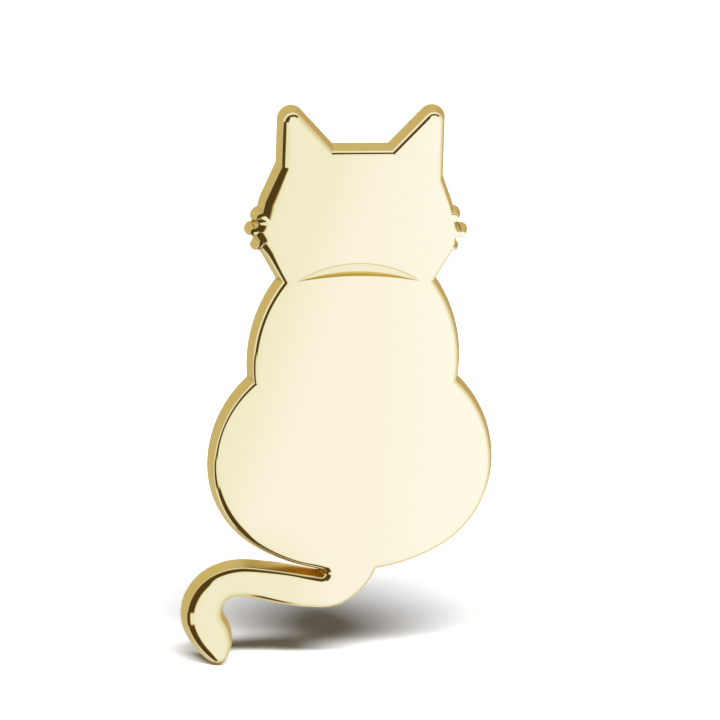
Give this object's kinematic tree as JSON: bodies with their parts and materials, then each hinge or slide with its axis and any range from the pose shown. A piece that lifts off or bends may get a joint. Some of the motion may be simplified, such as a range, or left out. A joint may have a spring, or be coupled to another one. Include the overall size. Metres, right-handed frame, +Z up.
{
  "type": "cat lapel pin",
  "caption": "Gold-plated cast lapel pin shaped as a sitting cat seen from behind, with headed posts and butterfly clutches on its back.",
  "frame": {"origin": "on the back (cloth) face, midway between the two posts", "axes": "+Y out of the back face along the posts, +Z up from the cat's tail to its ears, front faces -Y"},
  "size_m": [0.0243, 0.0099, 0.0451],
  "materials": {
    "gold_plate": "mirror polished gold plate, satin side wall",
    "gilt_post": "bright plated wire",
    "solder": "soft solder, slightly dull",
    "clutch_brass": "stamped brass, fine drawing marks",
    "wing_brass": "stamped spring brass"
  },
  "bodies": {
    "badge": {"cat_plate": "gold_plate", "upper_post": "gilt_post", "upper_post_solder": "solder", "lower_post": "gilt_post", "lower_post_solder": "solder"},
    "upper_clutch": {"upper_clutch_base": "clutch_brass", "upper_clutch_cage": "clutch_brass"},
    "upper_wing_left": {"upper_clutch_wing_left": "wing_brass"},
    "upper_wing_right": {"upper_clutch_wing_right": "wing_brass"},
    "lower_clutch": {"lower_clutch_base": "clutch_brass", "lower_clutch_cage": "clutch_brass"},
    "lower_wing_left": {"lower_clutch_wing_left": "wing_brass"},
    "lower_wing_right": {"lower_clutch_wing_right": "wing_brass"}
  },
  "joints": [
    {"name": "upper_clutch_slide", "type": "slide", "parent": "badge", "child": "upper_clutch", "axis": [0, 1, 0], "range_m": [-0.0022, 0.012]},
    {"name": "upper_wing_left_pinch", "type": "hinge", "parent": "upper_clutch", "child": "upper_wing_left", "pos_m": [-0.0026, 0.0047, 0.0085], "axis": [0, 0, -1], "range_deg": [0, 12], "stiffness_Nm_per_rad": 0.0005, "springref_deg": -8.59},
    {"name": "upper_wing_right_pinch", "type": "hinge", "parent": "upper_clutch", "child": "upper_wing_right", "pos_m": [0.0026, 0.0047, 0.0085], "axis": [0, 0, 1], "range_deg": [0, 12], "stiffness_Nm_per_rad": 0.0005, "springref_deg": -8.59},
    {"name": "lower_clutch_slide", "type": "slide", "parent": "badge", "child": "lower_clutch", "axis": [0, 1, 0], "range_m": [-0.0022, 0.012]},
    {"name": "lower_wing_left_pinch", "type": "hinge", "parent": "lower_clutch", "child": "lower_wing_left", "pos_m": [-0.0026, 0.0047, -0.0085], "axis": [0, 0, -1], "range_deg": [0, 12], "stiffness_Nm_per_rad": 0.0005, "springref_deg": -8.59},
    {"name": "lower_wing_right_pinch", "type": "hinge", "parent": "lower_clutch", "child": "lower_wing_right", "pos_m": [0.0026, 0.0047, -0.0085], "axis": [0, 0, 1], "range_deg": [0, 12], "stiffness_Nm_per_rad": 0.0005, "springref_deg": -8.59}
  ],
  "couplings": [
    {"joint": "upper_wing_right_pinch", "follows": "upper_wing_left_pinch", "ratio": 1},
    {"joint": "lower_wing_right_pinch", "follows": "lower_wing_left_pinch", "ratio": 1}
  ]
}
